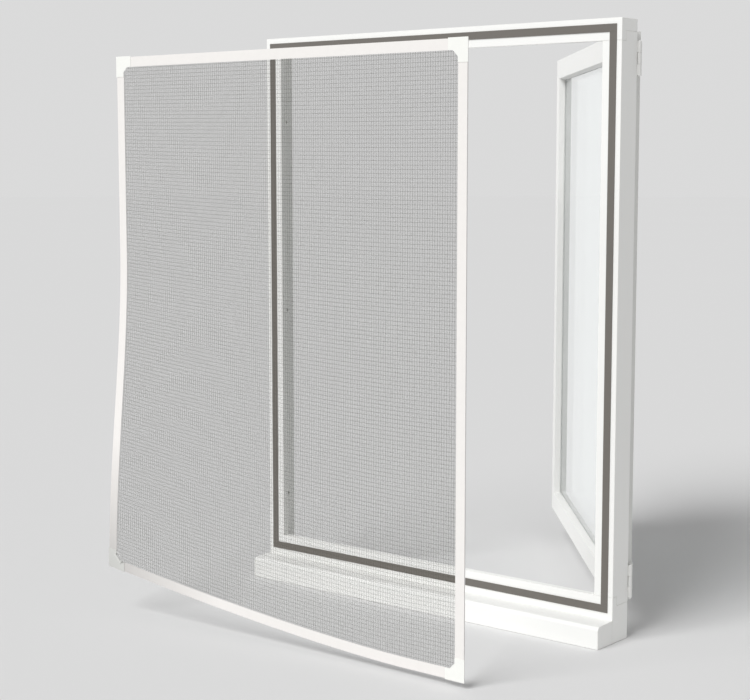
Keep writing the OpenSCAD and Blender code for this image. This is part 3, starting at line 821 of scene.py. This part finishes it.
class WINDOW_OT_timber_frame(bpy.types.Operator):
    """Rounds and paints the frame's timber and the inner sill, and colours its dowels"""

    bl_idname = "window.timber_frame"
    bl_label = "Timber frame"

    def execute(self, context):
        arris = context.scene.window_timber.arris
        for node in ("head", "bottom_rail", "left_jamb", "right_jamb", "inner_sill"):
            slot = "sill_timber" if node == "inner_sill" else "frame_timber"
            finish = paint(upright=node.endswith("jamb"))
            finish_solid(node, "painted_", arris, finish, "frame", slot)
        recolour("sill_dowels", bare_beech("Bare beech"))
        return {"FINISHED"}


class WINDOW_OT_magnet_tape(bpy.types.Operator):
    """Lays the dark magnet tape round the frame's room side"""

    bl_idname = "window.magnet_tape"
    bl_label = "Magnet tape"

    def execute(self, context):
        tape = context.scene.window_tape
        finish = rubber("Flexible magnet", tape.rubber, 0.6 * MM, 0.72)
        for node in ("tape_top", "tape_bottom", "tape_left", "tape_right"):
            finish_solid(node, "magnet_", tape.edge, finish, "frame", "magnet_tape", least=0.0)
        return {"FINISHED"}


class WINDOW_OT_rebate_seal(bpy.types.Operator):
    """Rounds the seal on the stop"""

    bl_idname = "window.rebate_seal"
    bl_label = "Rebate seal"

    def execute(self, context):
        finish = rubber("Seal rubber", context.scene.window_glazing.rubber, 0.5 * MM, 0.6)
        node = "rebate_seal"
        finish_solid(node, "soft_", 0.75 * MM, finish, "frame", "rubber_seal", segments=3)
        return {"FINISHED"}


class WINDOW_OT_hinges(bpy.types.Operator):
    """Finishes the hinge leaves and pins"""

    bl_idname = "window.hinges"
    bl_label = "Hinges"

    def execute(self, context):
        radius = context.scene.window_hardware.leaf_edge
        for end in ("upper", "lower"):
            for side in ("frame", "sash"):
                node = f"{end}_{side}_leaf"
                coat = powder_coat()
                finish_solid(node, "coated_", radius, coat, side, "hinge_leaf", least=1.5 * MM)
            node = f"{end}_hinge_pin"
            piece = solid_copy(node, "plated_")
            smooth(piece)
            dress(piece, zinc_plate(), "frame", node)
        return {"FINISHED"}


def screw_at_origin():
    """One countersunk screw with a cross recess: its head faces +Z and lies at the origin."""
    piece = add(
        bpy.ops.mesh.primitive_cone_add, vertices=24, radius1=SHANK_RADIUS, radius2=HEAD_RADIUS,
        depth=HEAD_DEPTH, location=(0, 0, -HEAD_DEPTH / 2), end_fill_type="NGON",
    )
    mesh = edit(piece)
    pick_faces(mesh, lambda face: face.normal.z < -FACING)
    extrude(0, 0, -SHANK_LENGTH)
    extrude(0, 0, -POINT_LENGTH)
    bpy.ops.transform.resize(value=(POINT_SHARE, POINT_SHARE, 1))
    mesh = bmesh.from_edit_mesh(piece.data)
    pick_faces(mesh, lambda face: face.normal.z > FACING)
    bpy.ops.mesh.inset(thickness=RECESS_RIM * HEAD_RADIUS, depth=0)
    mesh = bmesh.from_edit_mesh(piece.data)
    inner = next(face for face in mesh.faces if face.select)
    for index, vertex in enumerate(inner.verts):
        if index % 6 in (2, 3, 4):
            vertex.co.xy *= RECESS_WAIST
    bmesh.update_edit_mesh(piece.data)
    extrude(0, 0, -bpy.context.scene.window_hardware.recess_depth)
    bpy.ops.transform.resize(value=(RECESS_TAPER, RECESS_TAPER, 1))
    leave_edit()
    return piece


def screw_heights(node, heads):
    """How high each screw lies, from the corners of the heads in a column."""
    groups = []
    for z in sorted({round(point.z, 4) for point in heads}):
        if groups and z - groups[-1][-1] < SCREW_APART:
            groups[-1].append(z)
        else:
            groups.append([z])
    if len(groups) != SCREWS_PER_NODE:
        raise RuntimeError(f"{node}: found {len(groups)} screws")
    return [(group[0] + group[-1]) / 2 for group in groups]


class WINDOW_OT_screws(bpy.types.Operator):
    """Puts a cross-recessed screw in each hole of the leaves"""

    bl_idname = "window.screws"
    bl_label = "Screws"

    def execute(self, context):
        model = screw_at_origin()
        for body, turn in (("frame", 0.0), ("sash", -SASH_OPEN)):
            node = body + "_leaf_screws"
            outward = Vector((-math.sin(turn), math.cos(turn), 0.0))
            facing = Matrix.Rotation(turn, 4, "Z") @ Matrix.Rotation(-math.pi / 2, 4, "X")
            points = [vertex.co for vertex in frame["nodes"][node].data.vertices]
            face = max(point.dot(outward) for point in points)
            heads = [point for point in points if point.dot(outward) > face - 0.01 * MM]
            column = sum(heads, Vector()) / len(heads)
            copies = []
            for height in screw_heights(node, heads):
                copy = bpy.data.objects.new("screw", model.data.copy())
                context.scene.collection.objects.link(copy)
                copy.data.transform(Matrix.Translation((column.x, column.y, height)) @ facing)
                copies.append(copy)
            activate(*copies)
            bpy.ops.object.join()
            piece = context.object
            piece.name = "recessed_" + node
            smooth(piece, math.radians(30))
            dress(piece, zinc_plate(), body, node)
        bpy.data.objects.remove(model)
        return {"FINISHED"}


class WINDOW_OT_sash(bpy.types.Operator):
    """Rounds and paints the stiles, the rails and the glazing beads"""

    bl_idname = "window.sash"
    bl_label = "Sash"

    def execute(self, context):
        timber = context.scene.window_timber
        upright = ("hinge_stile", "free_stile", "bead_hinge_side", "bead_free_side")
        level = ("sash_top_rail", "sash_bottom_rail", "bead_top", "bead_bottom")
        for node in upright + level:
            bead = node.startswith("bead")
            radius = timber.bead_arris if bead else timber.arris
            slot = "glazing_bead" if bead else "sash_timber"
            finish = paint(node in upright, sash=True)
            others = surfaces(*(other for other in upright + level if other != node))
            finish_solid(node, "painted_", radius, finish, "sash", slot, flush_with=others)
        return {"FINISHED"}


class WINDOW_OT_glazing(bpy.types.Operator):
    """Finishes what holds the glass, and brings the joints round it up to the beads' edge"""

    bl_idname = "window.glazing"
    bl_label = "Glazing"

    def execute(self, context):
        glazing = context.scene.window_glazing
        for node in ("inner_pane", "outer_pane"):
            recolour(node, float_glass("Float glass"))
        recolour("spacer_frame", spacer_metal())
        recolour("edge_sealant", rubber("Edge sealant", SEALANT, 0.6 * MM, 0.6))
        recolour("glazing_blocks", rubber("Glazing block", GLAZING_BLOCK, 0.8 * MM, 0.5))
        joint = rubber("Glazing joint", glazing.rubber, 0.5 * MM, 0.6)
        across = Vector((math.cos(SASH_OPEN), -math.sin(SASH_OPEN), 0.0))
        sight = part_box("bead_top")[0].z + glazing.joint_recess
        for node in ("inner_glazing_tape", "outer_glazing_tape"):
            piece = solid_copy(node, "capped_")
            low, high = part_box(node)
            centre = (low + high) / 2
            mesh = edit(piece)
            inner = [vertex for vertex in mesh.verts if low.z + MM < vertex.co.z < high.z - MM]
            fill = max(vertex.co.z for vertex in inner) - sight
            for vertex in inner:
                away = vertex.co - centre
                vertex.co -= across * math.copysign(fill, away.dot(across))
                vertex.co.z -= math.copysign(fill, away.z)
            bmesh.update_edit_mesh(piece.data)
            leave_edit()
            smooth(piece)
            dress(piece, joint, "sash", node)
        return {"FINISHED"}


class WINDOW_OT_screen_mesh(bpy.types.Operator):
    """Stretches the insect mesh inside its edge"""

    bl_idname = "window.screen_mesh"
    bl_label = "Insect mesh"

    def execute(self, context):
        shape = ScreenShape()
        cell = context.scene.window_screen.cell
        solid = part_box("screen_mesh")
        hem = shape.left + shape.width - solid[1].x
        middle = (solid[1].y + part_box("edge_cover_top")[1].y) / 2
        us = stations(hem, shape.width - hem, cell)
        vs = stations(hem, shape.height - hem, cell)
        piece = sheet_grid("woven_screen_mesh", shape, us, vs, middle)
        activate(piece)
        bpy.ops.object.shade_smooth()
        dress(piece, insect_mesh("Insect mesh"), "screen", "screen_mesh")
        piece.visible_shadow = False
        piece.visible_diffuse = False
        return {"FINISHED"}


class WINDOW_OT_screen_edge(bpy.types.Operator):
    """Makes the magnet strips at the screen's back and the white covers at its front"""

    bl_idname = "window.screen_edge"
    bl_label = "Screen edge"

    def execute(self, context):
        shape = ScreenShape()
        screen = context.scene.window_screen
        # Both strip films carry the painted shade towards the curled corner.
        magnet = film("Magnet strip film", screen.magnet, 0.65, screen.corner_shade)
        cover = film("Edge cover film", screen.film, 0.5, screen.corner_shade)
        layers = (
            ("magnet_strip", "flexible_", magnet, shape.strip - screen.magnet_inset),
            ("edge_cover", "white_", cover, shape.strip),
        )
        for layer, look, finish, near in layers:
            far_u, far_v = shape.width - near, shape.height - near
            runs = {
                "top": ((0.0, shape.width), (far_v, shape.height)),
                "bottom": ((0.0, shape.width), (0.0, near)),
                "left": ((0.0, near), (near, far_v)),
                "right": ((far_u, shape.width), (near, far_v)),
            }
            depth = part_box(layer + "_top")
            for side, (across, upwards) in runs.items():
                node = f"{layer}_{side}"
                us = stations(*across, screen.cell)
                vs = stations(*upwards, screen.cell)
                piece = sheet_grid(look + node, shape, us, vs, depth[0].y)
                film_sheet(piece, depth, 60, finish, node)
        return {"FINISHED"}


class WINDOW_OT_corner_patches(bpy.types.Operator):
    """Makes the four corner patches with their gussets"""

    bl_idname = "window.corner_patches"
    bl_label = "Corner patches"

    def execute(self, context):
        shape = ScreenShape()
        screen = context.scene.window_screen
        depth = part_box("corner_patch_top_right")
        front = depth[0].y
        overhang = depth[1].x - shape.left - shape.width
        leg = depth[1].x - depth[0].x - overhang
        inner = shape.strip + screen.gusset
        middle = shape.strip + screen.gusset / 2
        steps = [-overhang, shape.strip, inner, leg]
        # The patches' film carries the painted shade towards the curled corner too.
        finish = film("Corner patch film", screen.patch, 0.36, screen.corner_shade)
        for upper in (False, True):
            for right in (False, True):
                us = from_far(shape.width, steps) if right else steps
                vs = from_far(shape.height, steps) if upper else steps
                level, side = "top" if upper else "bottom", "right" if right else "left"
                node = f"corner_patch_{level}_{side}"
                piece = sheet_grid("smooth_" + node, shape, us, vs, front)
                corner = shape.near_corner(inner, right, upper, front)
                outer = shape.near_corner(leg, right, upper, front)
                mesh = edit(piece)
                vertex = min(mesh.verts, key=lambda vert: (vert.co - corner).length)
                faces = sorted(
                    mesh.faces, key=lambda face: (face.calc_center_median() - outer).length
                )
                for face in faces[:3]:
                    face.select_set(True)
                vertex.co = shape.near_corner(middle, right, upper, front)
                bmesh.update_edit_mesh(piece.data)
                bpy.ops.mesh.delete(type="FACE")
                leave_edit()
                film_sheet(piece, depth, 35, finish, node)
        return {"FINISHED"}


def loop_band(screen):
    """The pull loop's half ring and legs, standing off the mesh."""
    thin = screen.loop_thickness
    half = screen.loop_band / 2
    band = add(
        bpy.ops.mesh.primitive_torus_add, major_segments=64, minor_segments=12,
        major_radius=screen.loop_radius - half, minor_radius=half,
    )
    edit(band, everything=True)
    bpy.ops.mesh.bisect(plane_co=(0, 0, 0), plane_no=(0, 1, 0), clear_inner=True, use_fill=True)
    mesh = bmesh.from_edit_mesh(band.data)
    pick_faces(mesh, lambda face: face.normal.y < -FACING and len(face.verts) > 4)
    extrude(0, -screen.loop_leg, 0)
    bpy.ops.mesh.select_all(action="SELECT")
    bpy.ops.transform.resize(value=(1, 1, thin / screen.loop_band), center_override=(0, 0, 0))
    bpy.ops.transform.translate(value=(0, screen.loop_leg, thin / 2))
    leave_edit()
    band.data.transform(Matrix.Rotation(screen.loop_tilt, 4, "X"))
    return band


def loop_foot(screen):
    """The pull loop's flat foot, with its edges rounded."""
    thin = screen.loop_thickness
    middle = (0, -screen.loop_foot / 2, thin / 2)
    foot = add(bpy.ops.mesh.primitive_cube_add, size=1, location=middle)
    edit(foot, everything=True)
    bpy.ops.transform.resize(value=(2 * screen.loop_radius, screen.loop_foot, thin))
    leave_edit()
    foot.data.transform(foot.matrix_world)
    foot.matrix_world = Matrix.Identity(4)
    round_edges(foot, 0.3 * thin, least=0.0)
    return foot


class WINDOW_OT_pull_loop(bpy.types.Operator):
    """Makes the pull loop on the peeled corner"""

    bl_idname = "window.pull_loop"
    bl_label = "Pull loop"

    def execute(self, context):
        shape = ScreenShape()
        screen = context.scene.window_screen
        inner = shape.strip + screen.gusset
        middle = shape.strip + screen.gusset / 2
        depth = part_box("corner_patch_top_right")[0].y - screen.loop_gap
        along = shape.place(inner, shape.strip, 0) - shape.place(shape.strip, inner, 0)
        along.normalize()
        out = along.cross(shape.place(inner, inner, 0) - shape.place(0, 0, 0)).normalized()
        stand = Matrix((along, out.cross(along), out)).transposed().to_4x4()
        stand.translation = shape.place(middle, middle, depth)
        piece = loop_band(screen)
        activate(piece, loop_foot(screen))
        bpy.ops.object.join()
        piece.name = "moulded_pull_loop"
        piece.data.transform(stand)
        piece.data.uv_layers[0].name = "Flat"
        smooth(piece)
        # The loop's film is darkened as painted shade of the curled corner.
        finish = film("Pull loop film", tinted(screen.patch, LOOP_SHADE_TONE), 0.36)
        dress(piece, finish, "screen", "pull_loop")
        return {"FINISHED"}


class WINDOW_OT_stage(bpy.types.Operator):
    """Sets up the floor, the soft light and the camera"""

    bl_idname = "window.stage"
    bl_label = "Stage"

    def execute(self, context):
        scene = context.scene
        stage = scene.window_stage
        ground = (0, 0, CAD_BOX[0][2] - stage.floor_drop)
        floor = add(
            bpy.ops.mesh.primitive_circle_add, vertices=96, radius=stage.floor_radius,
            fill_type="NGON", location=ground,
        )
        floor.name = "studio_floor"
        floor.data.materials.append(floor_finish("Studio floor"))
        floor.visible_glossy = False

        bpy.ops.object.light_add(type="SUN", rotation=stage.key_turn)
        key = context.object
        key.name = "key_light"
        key.data.energy = stage.key
        key.data.angle = stage.key_softness

        world = bpy.data.worlds.new("Studio")
        world.use_nodes = True
        scene.world = world
        tree = world.node_tree
        tree.nodes.clear()
        rays = tree.nodes.new("ShaderNodeLightPath").outputs
        seen = calculate(tree, "MAXIMUM", rays["Is Camera Ray"], rays["Is Transmission Ray"])
        even, mirrored = (stage.sky,) * 3, (stage.reflector,) * 3
        surroundings = blend_colours(tree, rays["Is Glossy Ray"], even, mirrored)
        surroundings = blend_colours(tree, seen, surroundings, stage.backdrop)
        background = node_over(tree, "ShaderNodeBackground", {"Color": surroundings})[0]
        node_over(tree, "ShaderNodeOutputWorld", {"Surface": background})
        scene.view_settings.view_transform = "Standard"

        bpy.ops.object.camera_add(location=stage.eye, rotation=stage.aim)
        camera = context.object
        camera.name = "camera"
        camera.data.lens = stage.lens
        camera.data.sensor_width = 36.0
        camera.data.clip_end = 200.0
        scene.camera = camera
        return {"FINISHED"}


STEPS = (
    WINDOW_OT_stage,
    WINDOW_OT_timber_frame,
    WINDOW_OT_magnet_tape,
    WINDOW_OT_rebate_seal,
    WINDOW_OT_hinges,
    WINDOW_OT_screws,
    WINDOW_OT_sash,
    WINDOW_OT_glazing,
    WINDOW_OT_screen_mesh,
    WINDOW_OT_screen_edge,
    WINDOW_OT_corner_patches,
    WINDOW_OT_pull_loop,
)


class WINDOW_PT_build(bpy.types.Panel):
    """Lists the window's settings and the steps that build it"""

    bl_idname = "WINDOW_PT_build"
    bl_label = "Casement window"
    bl_space_type = "VIEW_3D"
    bl_region_type = "UI"
    bl_category = "Window"

    def draw(self, context):
        for step in STEPS:
            self.layout.operator(step.bl_idname)
        for name in SETTINGS:
            group = getattr(context.scene, name)
            box = self.layout.box()
            for key in group.__annotations__:
                box.prop(group, key)


SETTINGS = {
    "window_timber": TimberSettings,
    "window_hardware": HardwareSettings,
    "window_glazing": GlazingSettings,
    "window_tape": TapeSettings,
    "window_screen": ScreenSettings,
    "window_stage": StageSettings,
}


def register():
    for name, group in SETTINGS.items():
        bpy.utils.register_class(group)
        setattr(bpy.types.Scene, name, bpy.props.PointerProperty(type=group))
    for step in STEPS:
        bpy.utils.register_class(step)
    bpy.utils.register_class(WINDOW_PT_build)


def unregister():
    bpy.utils.unregister_class(WINDOW_PT_build)
    for step in reversed(STEPS):
        bpy.utils.unregister_class(step)
    for name, group in reversed(SETTINGS.items()):
        delattr(bpy.types.Scene, name)
        bpy.utils.unregister_class(group)


def main():
    register()
    bpy.ops.window.stage()
    bpy.ops.window.timber_frame()
    bpy.ops.window.magnet_tape()
    bpy.ops.window.rebate_seal()
    bpy.ops.window.hinges()
    bpy.ops.window.screws()
    bpy.ops.window.sash()
    bpy.ops.window.glazing()
    bpy.ops.window.screen_mesh()
    bpy.ops.window.screen_edge()
    bpy.ops.window.corner_patches()
    bpy.ops.window.pull_loop()


if __name__ == "__main__":
    main()
